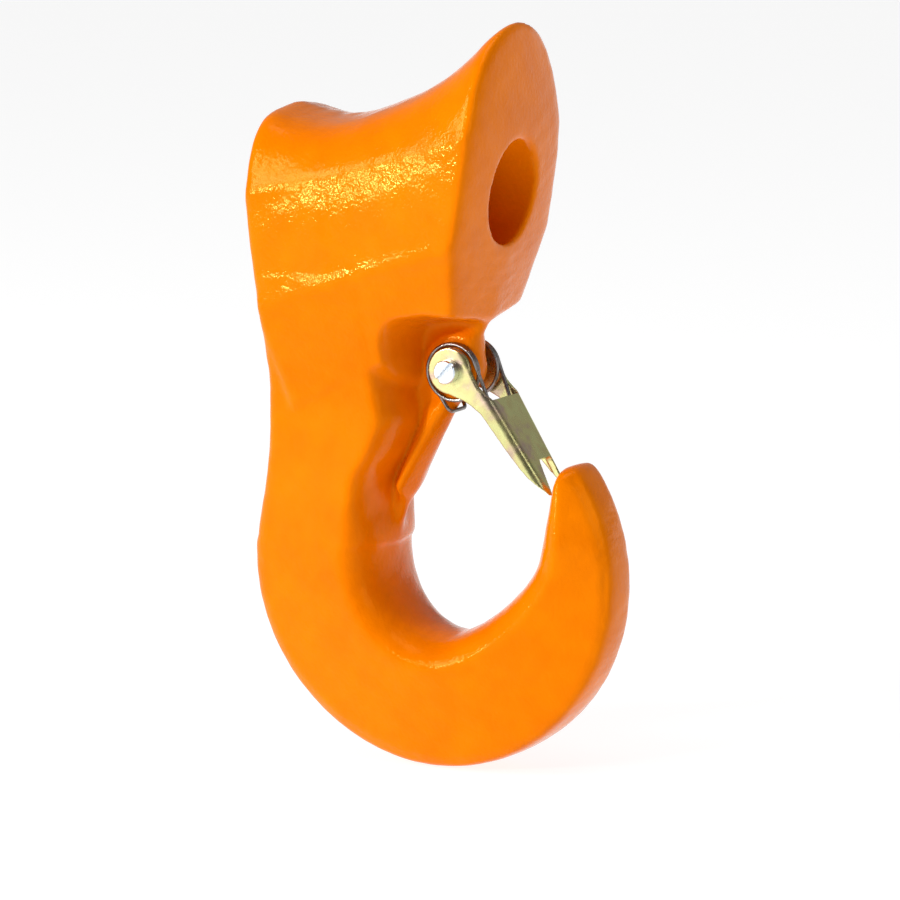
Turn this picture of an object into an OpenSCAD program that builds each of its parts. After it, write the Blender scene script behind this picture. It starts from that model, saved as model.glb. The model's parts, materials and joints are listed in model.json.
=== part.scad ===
// Sliding choker hook for wire rope: a forged hook with a rope bore through its saddle and a sprung latch.
// Origin at the middle of the rope bore, X towards the mouth, Y through the thickness, Z up, millimetres.

/* [Head] */
// Diameter of the bore that the rope slides in
bore_d = 28; // [24:0.5:30]
// Slope of the rope bore and of the saddle above it, in degrees
bore_tilt = 20; // [14:1:24]
// Length of the head along X
head_l = 80; // [76:1:86]
// Greatest thickness of the head
head_w = 63; // [58:1:68]
// Height of the saddle's lowest point over the bore's axis
saddle_h = 38.5; // [35:0.5:42]
// Depth of the head under the bore's axis
head_drop = 30; // [28:1:32]
// Rounding round both ends of the head
head_round = 7; // [5:0.5:9]
// Rounding of the bore's two mouths
mouth_round = 1.5; // [1:0.25:2.5]

/* [Hook] */
// Depth of the bowl below the throat's widest level
bowl_depth = 26; // [24:0.5:28]
// Reach of the bowl from its lowest point to the shank
bowl_back = 22.5; // [21:0.5:24]
// Reach of the bowl from its lowest point to the nose
bowl_front = 30.2; // [29.2:0.25:31.2]
// Radius of the hook's back
back_r = 60.5; // [59:0.5:62]
// Half thickness of the bowl at the shank
bowl_half_shank = 20.5; // [19:0.5:22]
// Half thickness of the bowl below the nose
bowl_half_nose = 15; // [13:0.5:17]
// Half thickness of the back's rim below the nose
rim_half = 7; // [6:0.5:9]
// Half thickness of the shank
shank_half = 20; // [18:0.5:22]
// Half thickness of the web that carries the latch
web_half = 4.4; // [4:0.1:4.5]

/* [Latch] */
// Slope of the latch plate when shut, in degrees below level
latch_slope = 56.5; // [56.5:0.25:58]
// Distance from the screw to the latch's tip
latch_l = 48.6; // [47:0.2:48.8]
// Outer width of the latch at its ears
latch_w = 19.6; // [19.4:0.1:20.4]
// Outer width of the latch at its tip
latch_tip_w = 15; // [14.6:0.2:15.6]
// Thickness of the latch's sheet steel
sheet_t = 1.8; // [1.5:0.1:1.8]
// Radius of the ears round the screw
ear_r = 7; // [6.5:0.25:7.25]

/* [Spring] */
// Diameter of the spring's wire
wire_d = 1.2; // [1:0.05:1.2]
// Mean diameter of the two coils
coil_d = 16.8; // [16:0.2:17]

/* [Screw] */
// Diameter of the pivot screw
screw_d = 4; // [3.5:0.1:4.5]
// Diametral clearance of the screw in the ears
screw_play = 0.16; // [0.08:0.02:0.18]
// Diameter of the screw's cheese head
screw_head_d = 7.2; // [7:0.1:7.6]
// Height of the screw's head
screw_head_h = 3; // [2.6:0.1:3.2]
// Size of the lock nut across its flats
nut_flats = 7; // [7:0.25:8]
// Height of the lock nut over its collar
nut_h = 5; // [4.6:0.1:5.4]

/* [Hidden] */

forged = "darkorange";
zinc_yellow = "darkkhaki";
zinc_blue = "lightsteelblue";
spring_steel = "dimgray";
nylon = "ivory";

ring_points = 44;
bowl_c = [20.5, -95.8];
back_c = [15.5, -103];
pivot = [21.75, -40.2];
nose_lean = 0.2;
tip_angle = 398;

// --- small helpers ---

function mix(a, b, t) = a + (b - a) * t;

function signed_pow(v, p) = sign(v) * pow(abs(v), p);

// Smooth curve through the rows of a table at position t, counted in rows
function smooth_at(rows, t) =
    let (n = len(rows) - 1, i = min(floor(t), n - 1), f = t - i)
    let (a = rows[max(i - 1, 0)], b = rows[i], c = rows[i + 1], d = rows[min(i + 2, n)])
    0.5 * (2 * b + (c - a) * f + (2 * a - 5 * b + 4 * c - d) * f * f
        + (3 * b - a - 3 * c + d) * f * f * f);

function centre(ring) = [for (p = ring) 1] * ring / len(ring);

// Closed skin through a row of rings, with a fan over each end
module loft(rings) {
    n = len(rings);
    m = len(rings[0]);
    points = [for (r = rings) each r, centre(rings[0]), centre(rings[n - 1])];
    sides = [for (i = [0:n - 2], j = [0:m - 1])
        let (k = (j + 1) % m, a = i * m + j, b = i * m + k)
        each [[a, b, a + m], [b, b + m, a + m]]];
    first = [for (j = [0:m - 1]) [n * m, (j + 1) % m, j]];
    last = [for (j = [0:m - 1]) [n * m + 1, (n - 1) * m + j, (n - 1) * m + (j + 1) % m]];
    polyhedron(points, concat(sides, first, last), convexity = 8);
}

// Hands its children over as one merged mesh
module one_skin() {
    resize([0, 0, 0]) union() children();
}

// --- forged body ---

// X of the head's two end faces at height z; the mouth's end draws back under the bore
function end_face(side, z) =
    side > 0 ? head_l / 2 + 1.5 - 9.5 * pow(max(0, 36 - z) / 56, 1.4)
             : head_l / 2 - 7 * pow(max(0, 8 - z) / 40, 0.8);

// One section of the head across X, shrunk by inset
function head_ring(x, inset) =
    let (top = saddle_h + (x > -4 ? 15.9 * pow((x + 4) / 44, 2.9) : 15.3 * pow((x + 4) / 36, 2)) - inset,
         low = head_drop + 0.16 * x - inset,
         half = head_w / 2 - inset,
         point = mix(2.9, 2.3, x / head_l + 0.5),
         foot = mix(2.4, 5, x / head_l + 0.5))
    [for (j = [ring_points:-1:1])
        let (a = 360 * j / ring_points,
             n = sin(a) > 0 ? point : foot,
             z = x * tan(bore_tilt) + (sin(a) > 0 ? top : low) * signed_pow(sin(a), 2 / n))
        [x * end_face(x, z) / (head_l / 2), half * signed_pow(cos(a), 2 / n), z]];

module head() {
    steps = 5;
    spans = 12;
    flat = head_l / 2 - head_round;
    left = [for (i = [0:steps - 1]) let (a = 90 * i / steps)
        head_ring(-flat - head_round * cos(a), head_round * (1 - sin(a)))];
    middle = [for (i = [0:spans]) head_ring(mix(-flat, flat, i / spans), 0)];
    right = [for (i = [steps - 1:-1:0]) let (a = 90 * i / steps)
        head_ring(flat + head_round * cos(a), head_round * (1 - sin(a)))];
    loft(concat(left, middle, right));
}

// Section between an inner point and an outer point in XZ: elliptic inner and outer edges, tapered faces
function hook_ring(inner, outer, half_in, half_out, round_in, round_out, shrink = 1) =
    let (mid = (inner + outer) / 2,
         d = norm(outer - inner) * shrink,
         out = (outer - inner) / norm(outer - inner),
         r_in = round_in * shrink,
         r_out = round_out * shrink,
         front = concat(
             [for (a = [0:15:90]) [r_in * (1 - cos(a)), half_in * shrink * sin(a)]],
             [for (f = [0.25, 0.5, 0.75])
                 [mix(r_in, d - r_out, f), shrink * mix(half_in, half_out, f)]],
             [for (a = [90:-18:0]) [d - r_out * (1 - cos(a)), half_out * shrink * sin(a)]]),
         n = len(front))
    [for (p = concat(front, [for (i = [n - 2:-1:1]) [front[i][0], -front[i][1]]]))
        let (q = mid + out * (p[0] - d / 2))
        [q[0], p[1], q[1]]];

// Distance from the bowl's centre to the back's circle along an angle
function back_at(a) =
    let (u = [cos(a), sin(a)], w = bowl_c - back_c, b = u * w)
    sqrt(b * b - w * w + back_r * back_r) - b;

// Distance from the bowl's centre to its inner surface: two rounded quarters, then the nose's straight wall
function bowl_at(a) =
    let (w = a < 270 ? bowl_back : bowl_front, n = a < 270 ? 2 : 1.45)
    a > 360 ? bowl_front / (cos(a) - nose_lean * sin(a))
            : pow(pow(abs(cos(a)) / w, n) + pow(abs(sin(a)) / bowl_depth, n), -1 / n);

// Section of the bowl at angle a: 180 at the shank, 270 at the bottom, 360 under the nose
function bowl_ring(a, shrink = 1) =
    let (t = (a - 180) / 180,
         rise = max(0, a - 360),
         u = [cos(a), sin(a)],
         r_in = bowl_at(a),
         r_out = back_at(a),
         half_in = mix(bowl_half_shank, bowl_half_nose, t) - 0.0022 * rise * rise,
         half_out = rim_half + 11 * pow(max(0, 1 - t), 1.5))
    hook_ring(bowl_c + u * r_in, bowl_c + u * r_out, half_in, half_out,
              min(9.5, 0.42 * (r_out - r_in)), min(5, 0.3 * (r_out - r_in)), shrink);

// Shank sections from the head down: z, x of the mouth side, x of the back, rounding of the mouth side
shank_rows = [
    [-12, 6, -38.5, 6],
    [-30, 4, -39.5, 6],
    [-44, 4.5, -38.6, 6],
    [-56, 8, -38.2, 6],
    [-66, 4, -38.8, 6],
    [-75, -1.5, -40, 7],
    [-84, -3.4, -42.2, 9],
    [-92, -2.2, -43.8, 11.5]];

module shank_and_bowl() {
    per_row = 3;
    last_row = len(shank_rows) - 1;
    shank = [for (i = [0:per_row * last_row])
        let (s = smooth_at(shank_rows, i / per_row), t = i / per_row / last_row)
        hook_ring([s[1], s[0]], [s[2], s[0]], mix(shank_half, bowl_half_shank, t),
                  mix(shank_half, rim_half + 11, t), s[3], 5)];
    bowl = [for (a = [182:6:386]) bowl_ring(a)];
    nose_from = 388;
    nose = [for (i = [0:6]) let (f = sin(90 * i / 6.4))
        bowl_ring(mix(nose_from, tip_angle, f), sqrt(1 - f * f))];
    loft(concat(shank, bowl, nose));
}

// Outline of the web in XZ: under the head, round the screw, down the mouth side of the shank
web_outline = concat(
    [[-15, -15], [31, -15], [31, -25], [28, -30]],
    [for (a = [40:-20:-40]) pivot + ear_r * [cos(a), sin(a)]],
    [[20.5, -50.5], [17.6, -55.4], [9, -69.5], [0.5, -83.5], [-1.5, -92], [-15, -92]]);

module web() {
    edge = 1.6;
    rotate([90, 0, 0]) {
        linear_extrude(2 * (web_half - edge), center = true) polygon(web_outline);
        linear_extrude(2 * web_half, center = true) offset(delta = -edge) polygon(web_outline);
    }
}

// Rounded bead down the mouth side of the shank, from under the screw to the bowl
module bead() {
    hull() {
        translate([12.2, 0, -57.5]) scale([1, 1.25, 1]) sphere(4.2, $fn = 32);
        translate([-6, 0, -88]) scale([1, 2, 1]) sphere(6.5, $fn = 32);
    }
}

// Bore along the rope with both mouths rounded
module rope_bore() {
    reach = head_l;
    rotate([0, 90 - bore_tilt, 0]) {
        cylinder(h = 2 * reach, d = bore_d, center = true, $fn = 96);
        for (side = [-1, 1])
            scale([1, 1, side]) translate([0, 0, 40]) rotate_extrude($fn = 96) difference() {
                square([bore_d / 2 + mouth_round, 30]);
                translate([bore_d / 2 + mouth_round, 0]) circle(mouth_round, $fn = 48);
            }
    }
}

// Turns a child drawn along Z into the pivot's place, from the front side to the back
module on_pivot() {
    translate([pivot[0], 0, pivot[1]]) rotate([-90, 0, 0]) children();
}

module hook_body() {
    color(forged) difference() {
        one_skin() {
            head();
            shank_and_bowl();
            web();
            bead();
        }
        rope_bore();
        on_pivot() cylinder(h = 4 * web_half, d = screw_d + screw_play, center = true, $fn = 48);
    }
}

// --- latch: one bent sheet, drawn with the screw at the origin and the plate along X ---

plate_n = 7.65;
plate_s = 14.25;

// Side outline of the two flanges: ear, neck, then a strip that narrows to the tip
flange_outline = concat(
    [for (a = [60:15:325]) ear_r * [cos(a), sin(a)]],
    [[9.6, -0.9], [12.2, 0.7], [16.3, 2.3], [23.5, 2.8], [30, 3.3], [36, 4],
     [39.6, 4.7], [42, 5.5], [45.3, 6.7], [latch_l, plate_n - sheet_t / 2],
     [latch_l, plate_n], [plate_s, plate_n], [12, 6.4], [8.8, 5.6], [5.9, 5.8]]);

// Plan outline of the channel, inset by one sheet for its inside
function channel_plan(inset) =
    let (w = latch_w / 2 - inset, t = latch_tip_w / 2 - inset, far = latch_l + 5)
    [[-20, -w], [plate_s, -w], [latch_l, -t], [far, -t], [far, t], [latch_l, t], [plate_s, w], [-20, w]];

// Open notch at the tip that takes the nose
notch_plan = [[36.1, -0.9], [latch_l + 2, -5.2], [latch_l + 2, 5.3], [36.1, 6]];

module in_latch_frame() {
    translate([pivot[0], 0, pivot[1]]) rotate([0, latch_slope, 0]) children();
}

module side_slab(outline) {
    rotate([90, 0, 0]) linear_extrude(latch_w + 2, center = true) polygon(outline);
}

module plan_prism(plan, low, high) {
    translate([0, 0, low]) linear_extrude(high - low) polygon(plan);
}

module latch() {
    color(zinc_yellow) in_latch_frame() difference() {
        intersection() {
            side_slab(flange_outline);
            union() {
                difference() {
                    plan_prism(channel_plan(0), -10, 10);
                    plan_prism(channel_plan(sheet_t), -11, 11);
                }
                plan_prism([[plate_s, -10], [60, -10], [60, 10], [plate_s, 10]], plate_n - sheet_t, 10);
            }
            plan_prism(channel_plan(0), -10, 10);
        }
        plan_prism(notch_plan, 0, 12);
        rotate([90, 0, 0])
            cylinder(h = latch_w + 4, d = screw_d + screw_play, center = true, $fn = 48);
    }
}

// --- double torsion spring: one wire, symmetric about the middle of the web ---

coil_r = coil_d / 2;
coil_start_y = web_half + 0.2 + wire_d / 2;
coil_pitch = wire_d + 0.02;
bridge_at = pivot + [-2.1, -13.2];
leg_turn = [16, 4.5];

// Angle at which a tangent from a point touches the coil, on the side given
function tangent_angle(p, side) = atan2(p[1], p[0]) + side * acos(coil_r / norm(p));

// Point of the latch's frame in XZ
function latch_point(p) =
    pivot + [p[0] * cos(latch_slope) + p[1] * sin(latch_slope),
             p[1] * cos(latch_slope) - p[0] * sin(latch_slope)];

// Half of the wire from the bridge over the web's edge to the leg under the latch plate
half_wire =
    let (from = tangent_angle(bridge_at - pivot, -1) + 360,
         to = tangent_angle(leg_turn, 1) - latch_slope - 360,
         touch = pivot + coil_r * [cos(from), sin(from)],
         up = (touch - bridge_at) / norm(touch - bridge_at),
         bend = 1.8,
         end_y = coil_start_y + coil_pitch * (from - to) / 360)
    concat(
        [for (a = [0:22.5:90]) let (q = bridge_at + up * bend * (1 - cos(a)))
            [q[0], coil_start_y - bend * (1 - sin(a)), q[1]]],
        [for (a = [from:-15:to]) let (q = pivot + coil_r * [cos(a), sin(a)])
            [q[0], coil_start_y + coil_pitch * (from - a) / 360, q[1]]],
        [for (p = [[8, 6.55], [12, 5.5], [leg_turn[0], 4.75], [20, 4.75], [26, 4.9]])
            let (q = latch_point(p)) [q[0], end_y - 0.04 * p[0], q[1]]]);

function unit(v) = v / norm(v);

function flip_y(p) = [p[0], -p[1], p[2]];

// Round rings along a path, turned as little as possible from one to the next
function tube_rings(path, r, sides = 10) =
    let (n = len(path),
         along = [for (i = [0:n - 1]) unit(path[min(i + 1, n - 1)] - path[max(i - 1, 0)])])
    [for (i = 0, u = unit(cross(along[0], [0, 1, 0])); i < n;
          u = i + 1 < n ? unit(u - (u * along[i + 1]) * along[i + 1]) : u, i = i + 1)
        let (v = cross(along[i], u))
        [for (k = [0:sides - 1]) path[i] + r * (cos(360 * k / sides) * u + sin(360 * k / sides) * v)]];

module latch_spring() {
    n = len(half_wire);
    path = concat([for (i = [n - 1:-1:0]) flip_y(half_wire[i])], half_wire);
    color(spring_steel) loft(tube_rings(path, wire_d / 2));
}

// --- pivot screw, its lock nut and the nut's insert, drawn along the pivot ---

face_gap = 0.05;
collar_h = 1.5;
insert_d = 5.3;
nut_from = latch_w / 2 + face_gap;

module pivot_screw() {
    slot_w = 1.1;
    slot_depth = 1.2;
    edge = 0.35;
    under_head = -latch_w / 2 - face_gap;
    top = under_head - screw_head_h;
    color(zinc_blue) on_pivot() difference() {
        union() {
            translate([0, 0, top]) cylinder(h = edge, d1 = screw_head_d - 2 * edge, d2 = screw_head_d, $fn = 64);
            translate([0, 0, top + edge]) cylinder(h = screw_head_h - edge, d = screw_head_d, $fn = 64);
            translate([0, 0, under_head - 0.5])
                cylinder(h = nut_from + nut_h + 1.2 - under_head, d = screw_d, $fn = 48);
        }
        rotate([0, 0, -47]) translate([-screw_head_d, -slot_w / 2, top - 1])
            cube([2 * screw_head_d, slot_w, slot_depth + 1]);
    }
}

module lock_nut() {
    color(zinc_blue) on_pivot() translate([0, 0, nut_from]) difference() {
        union() {
            rotate([0, 0, 12]) cylinder(h = nut_h - collar_h, d = nut_flats / cos(30), $fn = 6);
            cylinder(h = nut_h, d = nut_flats - 0.5, $fn = 64);
        }
        translate([0, 0, -1]) cylinder(h = nut_h + 2, d = screw_d, $fn = 48);
        translate([0, 0, nut_h - collar_h]) cylinder(h = nut_h, d = insert_d, $fn = 48);
    }
}

module nut_insert() {
    color(nylon) on_pivot() translate([0, 0, nut_from + nut_h - collar_h]) difference() {
        cylinder(h = collar_h - 0.2, d = insert_d, $fn = 48);
        translate([0, 0, -1]) cylinder(h = nut_h, d = screw_d, $fn = 48);
    }
}

hook_body();
latch();
latch_spring();
pivot_screw();
lock_nut();
nut_insert();
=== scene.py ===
import json
import math

import bpy
import numpy as np
import openvdb
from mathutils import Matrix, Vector


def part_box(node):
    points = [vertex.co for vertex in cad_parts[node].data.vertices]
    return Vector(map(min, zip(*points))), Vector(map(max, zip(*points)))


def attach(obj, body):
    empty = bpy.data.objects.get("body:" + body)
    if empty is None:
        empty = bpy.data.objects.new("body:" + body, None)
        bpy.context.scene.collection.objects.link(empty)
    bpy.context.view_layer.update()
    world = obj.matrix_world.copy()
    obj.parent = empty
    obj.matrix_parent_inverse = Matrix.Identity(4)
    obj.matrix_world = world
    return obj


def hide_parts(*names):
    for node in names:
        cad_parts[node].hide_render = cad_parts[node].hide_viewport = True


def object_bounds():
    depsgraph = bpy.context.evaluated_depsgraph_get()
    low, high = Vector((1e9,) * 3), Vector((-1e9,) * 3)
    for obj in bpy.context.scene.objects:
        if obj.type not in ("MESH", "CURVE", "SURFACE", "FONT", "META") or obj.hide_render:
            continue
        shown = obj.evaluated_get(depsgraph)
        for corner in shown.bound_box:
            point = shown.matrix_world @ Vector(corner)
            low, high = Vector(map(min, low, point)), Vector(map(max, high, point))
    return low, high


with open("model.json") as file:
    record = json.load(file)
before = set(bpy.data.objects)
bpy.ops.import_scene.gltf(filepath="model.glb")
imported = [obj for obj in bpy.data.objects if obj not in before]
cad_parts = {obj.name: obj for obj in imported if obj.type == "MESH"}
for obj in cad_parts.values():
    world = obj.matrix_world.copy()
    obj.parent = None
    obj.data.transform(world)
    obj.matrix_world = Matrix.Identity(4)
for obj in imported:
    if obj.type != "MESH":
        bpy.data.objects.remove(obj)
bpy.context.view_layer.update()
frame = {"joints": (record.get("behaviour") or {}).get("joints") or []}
joint = frame["joints"][0]
mm = 0.001

# where things are, in millimetres, in the frame that the hook was drawn in
pivot = np.array(joint["pos_m"])[[0, 2]] / mm
boreTilt = math.radians(20)
bowlCentre = np.array([20.5, -95.8])
backCentre = np.array([15.5, -103.0])


# small helpers that work on single numbers and on whole grids
def mix(a, b, t):
    return a + (b - a) * t


def smoothStep(a, b, v):
    t = np.clip((v - a) / (b - a), 0, 1)
    return t * t * (3 - 2 * t)


def softMin(a, b, k):
    # the lower of two fields with a fillet of about k
    h = np.clip(0.5 + 0.5 * (b - a) / k, 0, 1)
    return mix(b, a, h) - k * h * (1 - h)


def softMax(a, b, k):
    return -softMin(-a, -b, k)


def signedRoot(v):
    return np.sign(v) * np.sqrt(np.abs(v))


def rowsAt(rows, at):
    # columns of a short table, read off smoothly against its first column
    rows = np.array(sorted(rows), float)
    fine = np.linspace(rows[0, 0], rows[-1, 0], 400)
    kernel = np.hanning(41)
    kernel /= kernel.sum()
    out = []
    for column in rows[:, 1:].T:
        line = np.interp(fine, rows[:, 0], column)
        line = np.convolve(np.pad(line, 20, mode="edge"), kernel, mode="valid")
        out.append(np.interp(at, fine, line))
    return out


def outlineDistance(outline, u, v):
    # signed distance to a closed outline, positive inside
    outline = np.array(outline, float)
    near = np.full(u.shape, 1e9)
    inside = np.zeros(u.shape, bool)
    for a, b in zip(outline, np.roll(outline, -1, axis=0)):
        e = b - a
        t = np.clip(((u - a[0]) * e[0] + (v - a[1]) * e[1]) / (e @ e), 0, 1)
        near = np.minimum(near, np.hypot(u - a[0] - t * e[0], v - a[1] - t * e[1]))
        if a[1] != b[1]:
            crosses = (a[1] > v) != (b[1] > v)
            inside ^= crosses & (u < a[0] + (v - a[1]) * e[0] / e[1])
    return np.where(inside, near, -near)


def linePlace(a, b, u, v):
    # how far along a straight line a place is, and how far off it
    a, b = np.array(a, float), np.array(b, float)
    e = b - a
    along = ((u - a[0]) * e[0] + (v - a[1]) * e[1]) / (e @ e)
    t = np.clip(along, 0, 1)
    return along, np.hypot(u - a[0] - t * e[0], v - a[1] - t * e[1])


def skin(name, field, low, high, step):
    # closed mesh where the field is nought; the field is positive inside, all in millimetres
    axes = [np.arange(lo - 2 * step, hi + 3 * step, step) for lo, hi in zip(low, high)]
    x, y, z = np.meshgrid(*axes, indexing="ij", sparse=True)
    values = np.broadcast_to(field(x, y, z), [len(a) for a in axes]).astype(np.float32)
    grid = openvdb.FloatGrid()
    grid.copyFromArray(-values)
    points, quads = grid.convertToQuads(isovalue=0.0)
    points = (points * step + [a[0] for a in axes]) * mm
    mesh = bpy.data.meshes.new(name)
    mesh.from_pydata(points.tolist(), [], quads[:, ::-1].tolist())
    mesh.validate()
    mesh.shade_smooth()
    piece = bpy.data.objects.new(name, mesh)
    bpy.context.scene.collection.objects.link(piece)
    print(f"{name}: {len(quads)} faces")
    return piece


def skinOver(name, node, field, step, rides):
    # a piece made from a field, in the place of one CAD node
    low, high = (np.array(v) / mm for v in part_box(node))
    piece = skin(name, field, low, high, step)
    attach(piece, rides)
    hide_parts(node)
    return piece


def trueLength(field, step):
    # turns any smooth field into one that reads in millimetres near its skin
    slopes = np.gradient(field, step)
    slope = np.sqrt(sum(s * s for s in slopes))
    return field / np.maximum(slope, 1e-3)


# The forging is a die height over the XZ plane: the squared half thickness, less Y squared.
body = {
    "step": 0.8,  # mesh size, mm
    "soften": 0.7,  # blur of the die's outline, mm
    "blurReach": 4,  # steps to either side
    "relief": 0.02,  # faint unevenness of the forged skin, mm
    "waves": [(0.61, 0.33, 0.27), (-0.29, 0.71, 0.45), (0.37, -0.52, 0.83), (0.9, 0.4, -0.7)],
    "outside": -400,
    "fall": {"tip": 1500, "top": 900, "end": 6500, "neck": 70, "under": 40},  # slopes past each edge
    "joinFillet": 60,
    "boreRadius": 14.0,
    "boreRim": 1.6,  # rounding of the bore's mouths
    "screwHole": 2.2,
}

bowl = {
    "backRadius": 60.5,
    "deep": 26,  # from the bowl's centre to its bottom
    "wide": (22.5, 29.8),  # to the shank, to the nose
    "power": (2.2, 1.34),  # squareness of the two quarters
    "noseLean": 0.22,
    "halfIn": (20.5, 15),  # half thickness inside, at the shank and below the nose
    "noseThin": 0.0022,
    "rimHalf": 7,  # half thickness of the back's rim
    "rimMore": 11,  # and what it has more at the shank
    "crownDepth": 9.5,  # depth of the rounded inner surface
    "crownShare": 0.42,
    "rimRound": (5, 2.6),
    "rimPower": (2.6, 6),
    "rimTurn": (230, 300),  # degrees between which the rim turns crisp
    "tip": (385, 397.6),  # degrees between which the nose closes
    "tipPower": 6,
    "tipAnchor": 0.35,
    "pastTip": 402,
}

shank = {
    "half": 20.0,
    "halfLow": (20.5, 18),  # inside and back, where it meets the bowl
    "mouthRound": 6,
    "backRound": 5,
    "backPower": 2.6,
    "levels": (-95, -15),  # between which the thickness changes
    "roundLevels": (-96, -80),
    "stop": -12,
    "reach": 20,  # largest x that belongs to the shank
    "rows": [  # z, x of the mouth side, x of the back
        [-5, 6, -35], [-24, 5.5, -36], [-32, 5, -35.6], [-38, 5, -36.2], [-44, 5, -36.4], [-50, 6, -37.4],
        [-56, 7.6, -38.1], [-66, 3.4, -38.8], [-75, -2.2, -40], [-84, -2.6, -42.2], [-92, -0.9, -43.8],
        [-99, -1.0, -44.5]],
}

head = {
    "half": 30.7,
    "halfLength": 40,
    "endRound": 7.0,
    "endPower": 7,
    "top": 38.35,  # height of the saddle over the bore's axis
    "mouthEnd": (41.5, 9.5, 36, 56, 1.4),  # reach, draw-back, from level, over height, power
    "backEnd": (40, 7, 14, 46, 1.3),
    "mouthRise": (15.9, 44, 2.9),  # of the saddle: how much, over what length, power
    "backRise": (15.3, 36, 2),
    "riseFrom": -4,
    "crownPower": (3.4, 2.3),  # at the back, at the mouth
    "ridge": 0.46,  # soft ridges along both edges of the flat face
    "upperRidge": (25, 19, 3.2),  # level at the back, level at the mouth, width
    "lowerRidge": (-8.6, -14, 2.6),
    "lowerMore": 1.5,
    "ridgeLength": 60,
    "ridgeFrom": 20,  # half thickness above which the ridges show
    "lean": [[-120, 17], [-74, 17.4], [-60, 19.6], [-50, 19.8], [-40, 21], [-31, 23.9], [-21, 28],
             [-11.5, 31.0], [0, 30.8], [60, 30.8]],  # height over the bore's axis, half thickness
    "under": -40,
}

web = {
    "half": 2.5,
    "bossHalf": 4.35,
    "bossRadius": 11.2,
    "bossEdge": 0.7,
    "edgeRound": 2.2,
    "beadFillet": 2.5,
    "wallFillet": 1.5,
    "wall": (-0.4, 3.2),  # from the pocket's outline, between which its wall falls
    "outline": [
        [-15, -8], [32, -8], [31, -24], [27.6, -30.5], [28.2, -36], [28.9, -40.2], [28, -44.2], [24.6, -47.2],
        [20.8, -50.2], [17.6, -55.4], [9.6, -69.5], [2.9, -82], [1.2, -88], [-1.2, -94], [-15, -96]],
    "pocket": [
        [6.2, -29], [8, -26.2], [12, -23.8], [20, -22.2], [34, -22.6], [50, -24], [50, -60], [24, -60],
        [4, -90], [1.5, -91.2], [-1.6, -90], [-3.8, -86.5], [-4.4, -81], [-3, -75], [1.4, -68], [5, -62.5],
        [7.4, -57.5], [6.8, -52], [6, -44], [5.4, -34]],
}

bead = {
    "from": (13.5, -54),
    "to": (3.4, -77.5),
    "half": (5.2, 8.4),
    "steepWide": 4.2,
    "gentleWide": 8.5,  # the side towards the mouth slopes more gently
    "gentleLine": (30, 13),
    "edgeKeep": 1.5,
    "edgeFall": 3.4,
}


def backReach(angle):
    # from the bowl's centre to the back's circle
    w = bowlCentre - backCentre
    along = np.cos(angle) * w[0] + np.sin(angle) * w[1]
    return np.sqrt(along ** 2 - w @ w + bowl["backRadius"] ** 2) - along


def bowlReach(angle):
    # from the bowl's centre to its inner surface; angle 180 at the shank, 270 at the bottom, 398 at the tip
    c, s = np.cos(angle), np.sin(angle)
    degrees = np.degrees(angle)
    wide = np.where(degrees < 270, *bowl["wide"])
    power = np.where(degrees < 270, *bowl["power"])
    quarter = ((np.abs(c) / wide) ** power + (np.abs(s) / bowl["deep"]) ** power) ** (-1 / power)
    wall = bowl["wide"][1] / np.maximum(c - bowl["noseLean"] * s, 0.05)
    return np.where(degrees > 360, wall, quarter)


def ribbon(depth, width, halfIn, halfOut, roundIn, roundOut, square):
    # squared half thickness across a section: a crown, a tapered face, a rounded rim
    face = mix(halfIn, halfOut, np.clip((depth - roundIn) / np.maximum(width - roundIn, 1), 0, 1))
    t = 1 - depth / roundIn
    inner = halfIn ** 2 * (1 - t * np.abs(t))
    t = 1 - (width - depth) / roundOut
    outer = halfOut ** 2 * (1 - np.maximum(t, 0) ** square)
    h = face ** 2
    h = np.where(depth < roundIn, inner, h)
    return np.where(width - depth < roundOut, np.minimum(outer, h), h)


def headLean(up):
    # half thickness of the head's lower half, down to where it has become the shank
    return rowsAt(head["lean"], up)[0]


def bowlHeights(x, z):
    # bowl and nose, by angle and distance from the bowl's centre
    angle = np.arctan2(z - bowlCentre[1], x - bowlCentre[0]) % (2 * math.pi)
    angle = np.where(angle < math.radians(100), angle + 2 * math.pi, angle)
    degrees = np.degrees(angle)
    reach = np.hypot(x - bowlCentre[0], z - bowlCentre[1])
    inner = bowlReach(angle)
    width = backReach(angle) - inner
    tipFrom, tipTo = bowl["tip"]
    closing = np.clip((degrees - tipFrom) / (tipTo - tipFrom), 0, 2)
    shrink = np.sqrt(np.maximum(1 - closing ** bowl["tipPower"], 0.01))
    anchor = bowl["tipAnchor"] * width
    depth = (reach - inner - anchor) / shrink + anchor
    t = (degrees - 180) / 180
    halfIn = mix(*bowl["halfIn"], t) - bowl["noseThin"] * np.maximum(0, degrees - 360) ** 2
    halfOut = bowl["rimHalf"] + bowl["rimMore"] * np.maximum(0, 1 - t) ** 1.5
    roundIn = np.minimum(bowl["crownDepth"], bowl["crownShare"] * width)
    rim = smoothStep(*bowl["rimTurn"], degrees)
    heights = ribbon(depth, width, halfIn, halfOut, roundIn, mix(*bowl["rimRound"], rim),
                     mix(*bowl["rimPower"], rim)) * shrink ** 2
    fall = body["fall"]["tip"]
    return np.where(degrees > bowl["pastTip"], body["outside"], heights - fall * np.maximum(closing - 1, 0))


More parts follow.
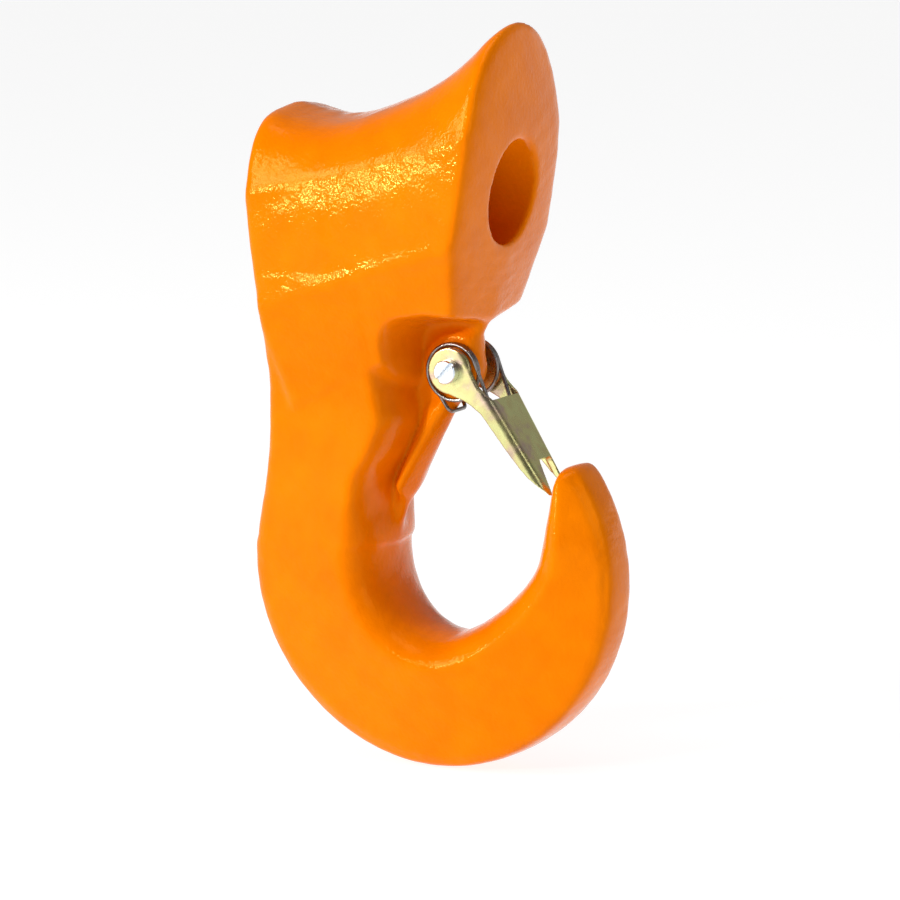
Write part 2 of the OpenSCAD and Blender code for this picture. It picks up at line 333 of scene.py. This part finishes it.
def shankHeights(x, z):
    # the shank above the bowl's centre, by level
    mouth, back = rowsAt(shank["rows"], z)
    bottom, top = shank["levels"]
    high = np.clip((z - bottom) / (top - bottom), 0, 1)
    lean = headLean(z - x * math.tan(boreTilt))
    halfIn, halfOut = (np.maximum(mix(half, shank["half"], high), lean) for half in shank["halfLow"])
    roundIn = mix(bowl["crownDepth"], shank["mouthRound"], smoothStep(*shank["roundLevels"], z))
    heights = ribbon(mouth - x, mouth - back, halfIn, halfOut, roundIn, shank["backRound"],
                     shank["backPower"])
    return heights - body["fall"]["neck"] * np.maximum(z - shank["stop"], 0)


def headEnd(level, reach, drawBack, start, height, power):
    return reach - drawBack * (np.maximum(0, start - level) / height) ** power


def headHeights(x, z):
    # saddle head; both end faces draw every section in where they round over
    ends = np.where(x > 0, headEnd(z, *head["mouthEnd"]), headEnd(z, *head["backEnd"]))
    x = x * head["halfLength"] / ends
    up = z - x * math.tan(boreTilt)  # height over the rope bore's axis
    end = np.maximum(1 - (head["halfLength"] - np.abs(x)) / head["endRound"], 0)
    inset = head["endRound"] * (1 - np.sqrt(np.maximum(1 - end ** 2, 0)))
    past = x - head["riseFrom"]
    rise, length, power = head["mouthRise"]
    mouthRise = rise * (np.maximum(past, 0) / length) ** power
    rise, length, power = head["backRise"]
    backRise = rise * (np.minimum(past, 0) / length) ** power
    share = np.maximum(up, 0) / (head["top"] + np.where(past > 0, mouthRise, backRise) - inset)
    power = mix(*head["crownPower"], np.clip(x / (2 * head["halfLength"]) + 0.5, 0, 1))
    crown = head["half"] * np.maximum(1 - share ** power, 0) ** (1 / power)
    across = np.clip(x / head["ridgeLength"] + 0.5, 0, 1)
    back, mouth, wide = head["upperRidge"]
    ridge = np.exp(-((up - mix(back, mouth, across)) / wide) ** 2)
    back, mouth, wide = head["lowerRidge"]
    ridge = ridge + head["lowerMore"] * np.exp(-((up - mix(back, mouth, across)) / wide) ** 2)
    half = np.minimum(crown, headLean(up)) + head["ridge"] * ridge * (crown > head["ridgeFrom"])
    heights = half ** 2 * (1 - end ** head["endPower"])
    fall = body["fall"]
    heights = np.where(share > 1, -fall["top"] * (share - 1), heights)
    heights = np.where(end > 1, -fall["end"] * (end - 1), heights)
    return heights - fall["under"] * np.maximum(head["under"] - up, 0)


def beadHalf(x, z, edge):
    # rounded bead down the mouth side of the shank
    along, off = linePlace(bead["from"], bead["to"], x, z)
    a, b = bead["gentleLine"]
    gentle = a * (x - bead["from"][0]) - b * (z - bead["from"][1]) > 0
    crest = mix(*bead["half"], np.clip(along, 0, 1))
    half = crest * (1 - (off / np.where(gentle, bead["gentleWide"], bead["steepWide"])) ** 2)
    return half - bead["edgeFall"] * np.maximum(bead["edgeKeep"] - edge, 0)


def dieHeights(x, z):
    # squared half thickness of the forging over the XZ plane
    hook = np.where((z > bowlCentre[1]) & (x < shank["reach"]), shankHeights(x, z), bowlHeights(x, z))
    solid = signedRoot(softMax(hook, headHeights(x, z), body["joinFillet"]))
    toPivot = np.hypot(x - pivot[0], z - pivot[1])
    onBoss = smoothStep(web["bossRadius"] + web["bossEdge"], web["bossRadius"] - web["bossEdge"], toPivot)
    edge = outlineDistance(web["outline"], x, z)
    t = 1 - edge / web["edgeRound"]
    floor = mix(web["half"], web["bossHalf"], onBoss) ** 2 * np.where(t > 0, 1 - t * np.abs(t), 1)
    floor = softMax(signedRoot(floor), beadHalf(x, z, edge), web["beadFillet"])
    wall = smoothStep(*web["wall"], outlineDistance(web["pocket"], x, z))
    carved = softMax(mix(solid, np.minimum(floor, solid), wall), floor, web["wallFillet"])
    return carved * np.abs(carved)


def bodyField(x, y, z):
    step, reach = body["step"], body["blurReach"]
    heights = np.clip(dieHeights(*np.broadcast_arrays(x[:, 0, :], z[:, 0, :])), body["outside"], None)
    kernel = np.exp(-0.5 * (np.arange(-reach, reach + 1) * step / body["soften"]) ** 2)
    kernel /= kernel.sum()

    def blurred(row):
        return np.convolve(np.pad(row, reach, mode="edge"), kernel, "valid")

    for axis in (0, 1):
        heights = np.apply_along_axis(blurred, axis, heights)
    solid = trueLength(heights[:, None, :] - y ** 2, step)
    for k, (a, b, c) in enumerate(body["waves"]):
        solid = solid + body["relief"] * np.sin(a * x + b * y + c * z + k)
    off = z * math.cos(boreTilt) - x * math.sin(boreTilt)
    hole = np.sqrt(off ** 2 + y ** 2) - body["boreRadius"]
    screwHole = np.hypot(x - pivot[0], z - pivot[1]) - body["screwHole"]
    return np.minimum(softMin(solid, hole, body["boreRim"]), screwHole)


forging = skinOver("forgedHook", "hook_body", bodyField, body["step"], "hook")


# The latch is one bent sheet: s runs along its plate from the screw, n stands over it.
latch = {
    "step": 0.26,
    "slope": 56.5,  # degrees below level when shut
    "length": 48.6,
    "width": 19.6,
    "tipWidth": 15.0,
    "sheet": 1.8,
    "bend": 2.6,  # outer radius of both bends
    "ear": 7.0,
    "plateTop": 7.65,
    "plateFrom": 14.25,
    "above": 12,  # well over the plate
    "hole": 2.08,
    "lowerEdge": [[7.6, -2.6], [9.6, -0.9], [12.2, 0.7], [16.3, 2.3], [23.5, 2.8], [30, 3.3], [36, 4],
                  [39.6, 4.7], [42, 5.5], [45.3, 6.7], [47.4, 7.3]],
    "neck": [[12, 6.4], [8.8, 5.6], [5.9, 5.8], [4.4, 6.0]],
    "notch": [[36.1, -0.9], [37.6, -1.6], [52, -5.8], [52, 5.5], [37, 6.0], [36.1, 5.4]],
}


def flangeOutline():
    ear = [[latch["ear"] * math.cos(math.radians(a)), latch["ear"] * math.sin(math.radians(a))]
           for a in range(60, 328, 6)]
    end, start = latch["length"], latch["plateFrom"]
    plate, above = latch["plateTop"], latch["above"]
    top = [[end, plate], [end, above], [start, above], [start, plate]]
    return ear + latch["lowerEdge"] + top + latch["neck"]


def latchField(x, y, z):
    turn = math.radians(latch["slope"])
    dx, dz = x - pivot[0], z - pivot[1]
    s = dx * math.cos(turn) - dz * math.sin(turn)
    n = dx * math.sin(turn) + dz * math.cos(turn)
    # the taper runs a little past the tip, the notch counts only through the plate
    taper = np.clip((s - latch["plateFrom"]) / (latch["length"] - latch["plateFrom"]), 0, 1.1)
    half = mix(latch["width"] / 2, latch["tipWidth"] / 2, taper)
    side = outlineDistance(flangeOutline(), s[:, 0, :], n[:, 0, :])[:, None, :]
    outer = channelDistance(half - np.abs(y), latch["plateTop"] - n, latch["bend"])
    inner = channelDistance(half - latch["sheet"] - np.abs(y), latch["plateTop"] - latch["sheet"] - n,
                            latch["bend"] - latch["sheet"])
    sheet = np.minimum(outer, -inner)
    earSide = np.minimum(half - np.abs(y), np.abs(y) - half + latch["sheet"])
    noPlate = smoothStep(latch["plateFrom"] + 0.1, latch["plateFrom"] - 0.1, s)
    sheet = np.where(noPlate > 0.5, np.minimum(sheet, earSide), sheet)
    notch = outlineDistance(latch["notch"], *np.broadcast_arrays(s, y))
    notch = np.where(n > latch["plateTop"] - latch["bend"], notch, -5)
    return np.minimum(np.minimum(np.minimum(sheet, side), -notch), np.hypot(s, n) - latch["hole"])


def channelDistance(side, top, radius):
    # inside of a channel with rounded corners: side and top are depths below its two faces
    radius = max(radius, 0.3)
    corner = radius - np.hypot(np.maximum(radius - side, 0), np.maximum(radius - top, 0))
    return np.minimum(np.minimum(side, top), corner)


latchPiece = skinOver("latchSheet", "latch", latchField, latch["step"], "latch")


# The spring is one wire: two coils, a bridge over the web's edge and a leg under each side of the plate.
spring = {
    "wire": 1.2,
    "coilRadius": 8.55,
    "hang": (-0.4, -0.8),  # how far the coils hang off the pivot
    "startY": 5.2,
    "pitch": 1.22,
    "bridge": (-2.1, -13.2),  # from the pivot
    "bridgeBend": 1.8,
    "legTo": [(16, 4.7), (20, 4.75), (26, 4.9)],  # s and n on the latch
    "legDraw": 0.04,  # how much each leg closes in along s
    "legThinner": 0.01,  # so that the coils' mesh covers the legs' where they overlap
    "coilPoints": 90,
    "legPoints": 40,
    "turns": (400, 760),  # fewest and most degrees that the wire winds
    "overlap": (95, 150),  # degrees before the leg where the coils end and the legs start
}
coilCentre = pivot + spring["hang"]
bridgeAt = pivot + spring["bridge"]


def latchPoint(s, n):
    turn = math.radians(latch["slope"])
    return pivot + [s * math.cos(turn) + n * math.sin(turn), n * math.cos(turn) - s * math.sin(turn)]


def tangentAngle(point, side):
    p = point - coilCentre
    return math.degrees(math.atan2(p[1], p[0]) + side * math.acos(spring["coilRadius"] / np.hypot(*p)))


def coilPoint(angle, start):
    a = math.radians(angle)
    q = coilCentre + spring["coilRadius"] * np.array([math.cos(a), math.sin(a)])
    return q[0], spring["startY"] + spring["pitch"] * (start - angle) / 360, q[1]


def wireStretch(first, last, start, count):
    return [coilPoint(mix(first, last, i / count), start) for i in range(count + 1)]


def wirePiece(name, routes, radius):
    curve = bpy.data.curves.new(name, "CURVE")
    curve.dimensions = "3D"
    curve.bevel_depth = radius * mm
    curve.bevel_resolution = 5
    curve.use_fill_caps = True
    for route in routes:
        line = curve.splines.new("POLY")
        line.points.add(len(route) - 1)
        for point, place in zip(line.points, route):
            point.co = (*(c * mm for c in place), 1)
        line.use_smooth = True
    mesh = bpy.data.meshes.new_from_object(bpy.data.objects.new(name + "Line", curve))
    mesh.shade_smooth()
    piece = bpy.data.objects.new(name, mesh)
    bpy.context.scene.collection.objects.link(piece)
    return piece


def buildSpring():
    start = tangentAngle(bridgeAt, -1) + 360
    end = tangentAngle(latchPoint(*spring["legTo"][0]), 1) - 360
    fewest, most = spring["turns"]
    while end > start - fewest:
        end -= 360
    while end < start - most:
        end += 360
    first = np.array(coilPoint(start, start))[[0, 2]]
    up = (first - bridgeAt) / np.hypot(*(first - bridgeAt))
    bend = spring["bridgeBend"]
    bridge = []
    for degrees in range(0, 91, 15):
        a = math.radians(degrees)
        q = bridgeAt + up * bend * (1 - math.cos(a))
        bridge.append((q[0], spring["startY"] - bend * (1 - math.sin(a)), q[1]))
    near, far = spring["overlap"]
    coil = bridge + wireStretch(start, end + near, start, spring["coilPoints"])
    mirrored = [(x, -y, z) for x, y, z in coil]
    coils = wirePiece("springCoils", [mirrored[::-1] + coil], spring["wire"] / 2)
    leg = wireStretch(end + far, end, start, spring["legPoints"])
    endY = leg[-1][1]
    for s, n in spring["legTo"]:
        q = latchPoint(s, n)
        leg.append((q[0], endY - spring["legDraw"] * s, q[1]))
    mirrored = [(x, -y, z) for x, y, z in leg]
    legs = wirePiece("springLegs", [leg, mirrored], spring["wire"] / 2 - spring["legThinner"])
    print("spring: coil wound through", round(start - end), "degrees")
    return coils, legs


springCoils, springLegs = buildSpring()
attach(springCoils, "hook")
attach(springLegs, "latch")
for piece in (springCoils, springLegs):
    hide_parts("latch_spring")


# The pivot screw, its lock nut and the nut's insert lie along Y.
screw = {
    "step": 0.12,
    "radius": 2.0,
    "headRadius": 3.6,
    "headHigh": 3.0,
    "headFrom": -9.85,
    "headChamfer": 0.85,
    "slotWide": 1.1,
    "slotDeep": 1.2,
    "slotTurn": 47,  # degrees above level, seen from the front
    "threadPitch": 0.7,
    "threadDeep": 0.3,
    "threadFrom": 9.0,
    "lead": 0.6,  # length of the taper at the end
    "end": 15.5,
}

nut = {
    "step": 0.13,
    "flats": 7.0,
    "start": 9.93,
    "hexHigh": 3.5,
    "hexCorner": 0.28,
    "high": 5.0,
    "collarRadius": 3.25,
    "collarRound": 0.7,
    "turn": 12,
    "insertStep": 0.1,
    "insertRadius": 2.65,
    "insertHigh": 1.3,
    "insertDeep": 1.5,
    "gap": 0.02,
}


def aroundPivot(x, z):
    dx, dz = x - pivot[0], z - pivot[1]
    return dx, dz, np.hypot(dx, dz)


def screwField(x, y, z):
    dx, dz, r = aroundPivot(x, z)
    top = screw["headFrom"] - screw["headHigh"]
    chamfer = screw["headRadius"] + 0.35 - 0.75 * np.maximum(screw["headChamfer"] - (y - top), 0)
    head = np.minimum(screw["headRadius"], chamfer) - r
    head = np.minimum(head, np.minimum(y - top, screw["headFrom"] - y))
    a = math.radians(screw["slotTurn"])
    across = np.abs(dz * math.cos(a) - dx * math.sin(a))
    slot = np.minimum(screw["slotWide"] / 2 - across, top + screw["slotDeep"] - y)
    head = softMin(head, -slot, 0.15)
    phase = (y / screw["threadPitch"] - np.arctan2(dz, dx) / (2 * math.pi)) % 1
    thread = screw["threadDeep"] * np.abs(2 * phase - 1) * (y > screw["threadFrom"])
    lead = 0.8 * np.maximum(y - screw["end"] + screw["lead"], 0)
    shaft = np.minimum(screw["radius"] - thread - lead - r, np.minimum(y - top - 1.5, screw["end"] - y))
    return np.maximum(head, shaft)


def nutField(x, y, z):
    dx, dz, r = aroundPivot(x, z)
    hexagon = np.full(np.broadcast_shapes(dx.shape, dz.shape), 99.0)
    for i in range(6):
        a = math.radians(60 * i + nut["turn"])
        hexagon = np.minimum(hexagon, nut["flats"] / 2 - dx * math.cos(a) - dz * math.sin(a))
    up = y - nut["start"]
    corner = nut["flats"] / 2 + nut["hexCorner"] - r + 0.55 * np.minimum(up, nut["hexHigh"] - up)
    hexPart = np.minimum(np.minimum(hexagon, corner), np.minimum(up, nut["hexHigh"] - up))
    rim = nut["collarRadius"] - 0.6 * np.maximum(up - nut["high"] + nut["collarRound"], 0)
    collar = np.minimum(rim - r, np.minimum(up, nut["high"] - up))
    solid = softMax(hexPart, collar, 0.2)
    bore = np.where(up > nut["high"] - nut["insertDeep"], nut["insertRadius"], screw["radius"] + nut["gap"])
    return np.minimum(solid, r - bore)


def insertField(x, y, z):
    dx, dz, r = aroundPivot(x, z)
    low = nut["start"] + nut["high"] - nut["insertDeep"]
    ring = np.minimum(nut["insertRadius"] - nut["gap"] - r, r - screw["radius"] - 0.03)
    return softMin(ring, np.minimum(y - low - nut["gap"], low + nut["insertHigh"] - y), 0.25)


hardware = [
    skinOver("pivotScrew", "pivot_screw", screwField, screw["step"], "hook"),
    skinOver("lockNut", "lock_nut", nutField, nut["step"], "hook"),
    skinOver("nutInsert", "nut_insert", insertField, nut["insertStep"], "hook"),
]


def material(name):
    made = bpy.data.materials.new(name)
    made.use_nodes = True
    return made, made.node_tree, made.node_tree.nodes["Principled BSDF"]


def addNode(tree, kind, inputs=None, **settings):
    made = tree.nodes.new(kind)
    for key, value in settings.items():
        setattr(made, key, value)
    feed(tree, made, inputs or {})
    return made


def feed(tree, node, inputs):
    for key, value in inputs.items():
        if isinstance(value, bpy.types.NodeSocket):
            tree.links.new(value, node.inputs[key])
        else:
            node.inputs[key].default_value = value


def noise(tree, scale, detail):
    # scale counts waves per metre
    where = addNode(tree, "ShaderNodeTexCoord").outputs["Object"]
    made = addNode(tree, "ShaderNodeTexNoise", {"Vector": where, "Scale": scale, "Detail": detail})
    return made.outputs["Fac"]


def ramp(tree, factor, stops):
    made = addNode(tree, "ShaderNodeValToRGB", {"Fac": factor})
    band = made.color_ramp.elements
    for stop, (place, colour) in ((band[0], stops[0]), (band[1], stops[-1])):
        stop.position = place
        stop.color = (*colour, 1)
    for place, colour in stops[1:-1]:
        band.new(place).color = (*colour, 1)
    return made.outputs["Color"]


def spread(tree, value, low, high):
    # stretches a noise, which mostly lies between 0.35 and 0.65
    made = addNode(tree, "ShaderNodeMapRange", {"Value": value, "From Min": 0.35, "From Max": 0.65,
                                                "To Min": low, "To Max": high})
    return made.outputs["Result"]


def relief(tree, layers):
    # bumps laid over one another: height, strength, distance in metres
    normal = None
    for height, strength, distance in layers:
        made = addNode(tree, "ShaderNodeBump", {"Height": height, "Strength": strength, "Distance": distance})
        if normal:
            tree.links.new(normal, made.inputs["Normal"])
        normal = made.outputs["Normal"]
    return normal


def blend(tree, factor, first, second):
    mixed = addNode(tree, "ShaderNodeMix", data_type="RGBA")
    tree.links.new(factor, mixed.inputs["Factor"])
    tree.links.new(first, mixed.inputs["A"])
    mixed.inputs["B"].default_value = (*second, 1)
    return mixed.outputs["Result"]


paint = {
    "shades": [(0.3, (0.80, 0.175, 0.0)), (0.5, (0.86, 0.198, 0.0)), (0.72, (0.90, 0.212, 0.001))],
    "shadeScale": 22,
    "scuff": (0.62, 0.10, 0.0),  # where the paint lies thin
    "scuffScale": 95,
    "scuffMost": 0.22,
    "roughness": (0.1, 0.2),
    "roughScale": 70,
    "gloss": (1, 0.48, 0.06, 1),
    "skinGrain": (210, 0.1, 0.0012),  # the forging's grain: waves per metre, strength, depth in metres
    "peel": (850, 0.3, 0.0004),  # and the paint's orange peel
}


def orangePaint():
    made, tree, shader = material("orangePaint")
    shade = ramp(tree, noise(tree, paint["shadeScale"], 4), paint["shades"])
    thin = spread(tree, noise(tree, paint["scuffScale"], 6), 0.0, paint["scuffMost"])
    skinScale, skinStrength, skinDepth = paint["skinGrain"]
    peelScale, peelStrength, peelDepth = paint["peel"]
    feed(tree, shader, {
        "Base Color": blend(tree, thin, shade, paint["scuff"]),
        "Roughness": spread(tree, noise(tree, paint["roughScale"], 5), *paint["roughness"]),
        "IOR": 1.36,
        "Specular IOR Level": 0.5,
        "Specular Tint": paint["gloss"],
        "Normal": relief(tree, [(noise(tree, skinScale, 4), skinStrength, skinDepth),
                                (noise(tree, peelScale, 2), peelStrength, peelDepth)]),
    })
    return made


zinc = {
    "film": [(0.28, (0.64, 0.54, 0.24)), (0.42, (0.68, 0.68, 0.30)), (0.52, (0.66, 0.60, 0.27)),
             (0.62, (0.58, 0.43, 0.32)), (0.74, (0.50, 0.55, 0.28))],
    "filmScale": 110,
    "roughness": (0.2, 0.34),
    "roughScale": 240,
    "rolled": (320, 0.15, 0.0004),
    "fine": (1500, 0.12, 0.0001),
}


def yellowZinc():
    made, tree, shader = material("yellowZinc")
    rolledScale, rolledStrength, rolledDepth = zinc["rolled"]
    fineScale, fineStrength, fineDepth = zinc["fine"]
    feed(tree, shader, {
        "Base Color": ramp(tree, noise(tree, zinc["filmScale"], 3), zinc["film"]),
        "Metallic": 1.0,
        "Roughness": spread(tree, noise(tree, zinc["roughScale"], 5), *zinc["roughness"]),
        "Normal": relief(tree, [(noise(tree, rolledScale, 4), rolledStrength, rolledDepth),
                                (noise(tree, fineScale, 2), fineStrength, fineDepth)]),
    })
    return made


metal = {
    "shadeScale": 260,
    "roughScale": 500,
    "grainStrength": 0.2,
    "grainDepth": 0.0002,
    "blueZinc": [(0.3, (0.62, 0.70, 0.80)), (0.55, (0.78, 0.83, 0.88)), (0.75, (0.80, 0.82, 0.78))],
    "springSteel": [(0.3, (0.17, 0.14, 0.13)), (0.6, (0.30, 0.28, 0.27)), (0.8, (0.22, 0.2, 0.22))],
}


def plainMetal(name, roughness, grain):
    made, tree, shader = material(name)
    feed(tree, shader, {
        "Base Color": ramp(tree, noise(tree, metal["shadeScale"], 4), metal[name]),
        "Metallic": 1.0,
        "Roughness": spread(tree, noise(tree, metal["roughScale"], 4), *roughness),
        "Normal": relief(tree, [(noise(tree, grain, 4), metal["grainStrength"], metal["grainDepth"])]),
    })
    return made


nylon = {
    "shades": [(0.3, (0.62, 0.60, 0.52)), (0.7, (0.72, 0.71, 0.64))],
    "shadeScale": 300,
    "roughness": (0.38, 0.55),
    "roughScale": 700,
    "grain": (900, 0.2, 0.0002),
}


def paleNylon():
    made, tree, shader = material("paleNylon")
    grain, strength, depth = nylon["grain"]
    feed(tree, shader, {
        "Base Color": ramp(tree, noise(tree, nylon["shadeScale"], 3), nylon["shades"]),
        "Roughness": spread(tree, noise(tree, nylon["roughScale"], 3), *nylon["roughness"]),
        "Normal": relief(tree, [(noise(tree, grain, 2), strength, depth)]),
    })
    return made


blueZinc = plainMetal("blueZinc", (0.2, 0.36), 1400)
springSteel = plainMetal("springSteel", (0.22, 0.4), 1100)
finishes = [(forging, orangePaint()), (latchPiece, yellowZinc())]
finishes += [(springCoils, springSteel), (springLegs, springSteel)]
finishes += zip(hardware, (blueZinc, blueZinc, paleNylon()))
for piece, finish in finishes:
    piece.data.materials.append(finish)
print("materials:", len(finishes), "pieces finished")


studio = {
    "azimuth": 29,
    "elevation": 10,
    "distance": 1.3,
    "aim": (0.0173, -0.0009, -0.0659),
    "lens": 171.6,
    "floorSize": 40,
    "floorGlow": 0.86,
    "sky": [(0.0, (1, 1, 1)), (0.04, (1, 1, 1)), (0.16, (0.36, 0.36, 0.36)), (1.0, (0.3, 0.3, 0.3))],
    "around": (0.28, 1.0),  # brightness of the horizon in front of the hook and behind it
    "lights": [  # name, place, size, watts
        ("keyLight", (-1.0, -1.35, 0.8), (0.6, 0.6), 17),
        ("fillLight", (1.5, -0.5, 0.5), (0.6, 0.8), 3),
        ("topLight", (0.1, -0.2, 1.3), (0.9, 0.9), 6),
        ("glintLight", (-0.85, -1.35, 0.24), (0.06, 0.06), 9),
        ("sparkLight", (-0.35, -1.5, 0.5), (0.05, 0.05), 4),
    ],
}


def studioView():
    a, e = math.radians(studio["azimuth"]), math.radians(studio["elevation"])
    back = Vector((math.sin(a) * math.cos(e), -math.cos(a) * math.cos(e), math.sin(e)))
    camera = bpy.data.objects.new("camera", bpy.data.cameras.new("camera"))
    bpy.context.scene.collection.objects.link(camera)
    camera.location = Vector(studio["aim"]) + back * studio["distance"]
    camera.rotation_euler = back.to_track_quat("Z", "Y").to_euler()
    camera.data.lens = studio["lens"]
    camera.data.sensor_width = 36
    bpy.context.scene.camera = camera


def studioFloor():
    bpy.ops.mesh.primitive_plane_add(size=studio["floorSize"], location=(0, 0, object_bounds()[0][2]))
    floor = bpy.context.object
    floor.name = "floor"
    made, tree, shader = material("lightTable")
    feed(tree, shader, {"Base Color": (0.3, 0.3, 0.3, 1), "Roughness": 0.8, "Specular IOR Level": 0.1,
                        "Emission Color": (1, 1, 1, 1), "Emission Strength": studio["floorGlow"]})
    floor.data.materials.append(made)


def softLight(name, place, size, power):
    lamp = bpy.data.lights.new(name, "AREA")
    lamp.shape = "RECTANGLE"
    lamp.size, lamp.size_y = size
    lamp.energy = power
    light = bpy.data.objects.new(name, lamp)
    light.location = place
    light.rotation_euler = (Vector(place) - Vector(studio["aim"])).to_track_quat("Z", "Y").to_euler()
    bpy.context.scene.collection.objects.link(light)


def studioSky():
    world = bpy.data.worlds.new("sky")
    world.use_nodes = True
    tree = world.node_tree
    where = addNode(tree, "ShaderNodeTexCoord").outputs["Generated"]
    split = addNode(tree, "ShaderNodeSeparateXYZ", {"Vector": where}).outputs
    near, far = studio["around"]
    level = addNode(tree, "ShaderNodeMapRange", {"Value": split["Y"], "From Min": 0.0, "From Max": 0.7,
                                                 "To Min": near, "To Max": far})
    feed(tree, tree.nodes["Background"], {"Color": ramp(tree, split["Z"], studio["sky"]),
                                          "Strength": level.outputs["Result"]})
    bpy.context.scene.world = world


studioView()
studioFloor()
studioSky()
for light in studio["lights"]:
    softLight(*light)
bpy.context.scene.view_settings.view_transform = "Standard"
print("studio:", len(studio["lights"]), "lights")
